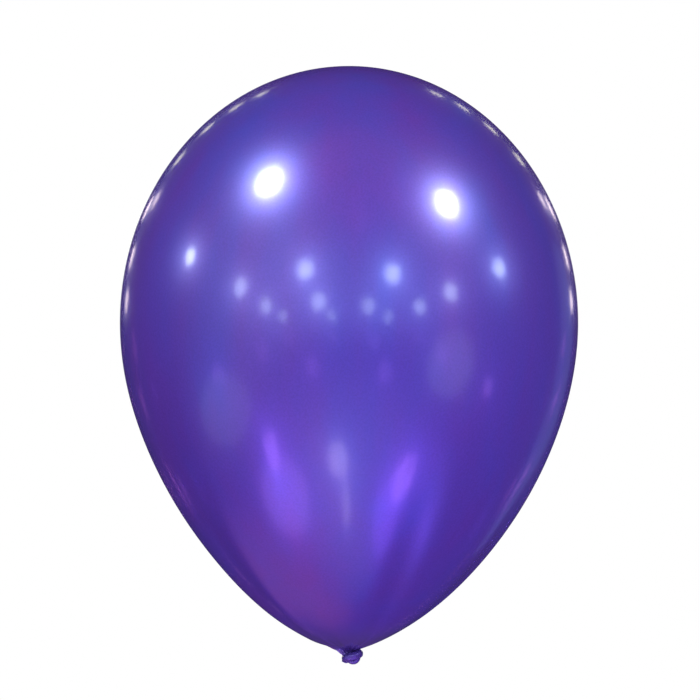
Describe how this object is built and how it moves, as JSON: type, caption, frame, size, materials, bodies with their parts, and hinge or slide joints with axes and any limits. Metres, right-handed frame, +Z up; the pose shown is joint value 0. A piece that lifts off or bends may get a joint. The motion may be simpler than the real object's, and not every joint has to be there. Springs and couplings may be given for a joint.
{
  "type": "latex balloon",
  "caption": "Inflated latex balloon with a tapered base, tied off in an overhand knot with a short rolled-lip tail.",
  "frame": {"origin": "the pinch of the neck on the balloon's axis, between the envelope and the knot", "axes": "+Z up the axis from the pinch to the crown, -Y to the front, +X to the side where the knot sits high"},
  "size_m": [0.28, 0.28, 0.3664],
  "materials": {
    "film": "glossy pearl violet latex, stretched thin",
    "neck_rubber": "satin pearl violet latex, unstretched"
  },
  "bodies": {
    "balloon": {"envelope": "film", "neck_gather": "film"},
    "knot": {"knot_strand": "neck_rubber", "knot_wrap": "neck_rubber"},
    "free_end": {"tail": "neck_rubber", "rolled_lip": "neck_rubber"}
  },
  "joints": [
    {"name": "knot_twist", "type": "hinge", "parent": "balloon", "child": "knot", "pos_m": [0, 0, 0], "axis": [0, 0, 1], "range_deg": [-45, 45], "stiffness_Nm_per_rad": 0.00002},
    {"name": "tail_flap", "type": "hinge", "parent": "knot", "child": "free_end", "pos_m": [-0.0003, 0.0047, -0.0068], "axis": [-1, 0, 0], "range_deg": [-8, 70], "stiffness_Nm_per_rad": 0.000004}
  ]
}
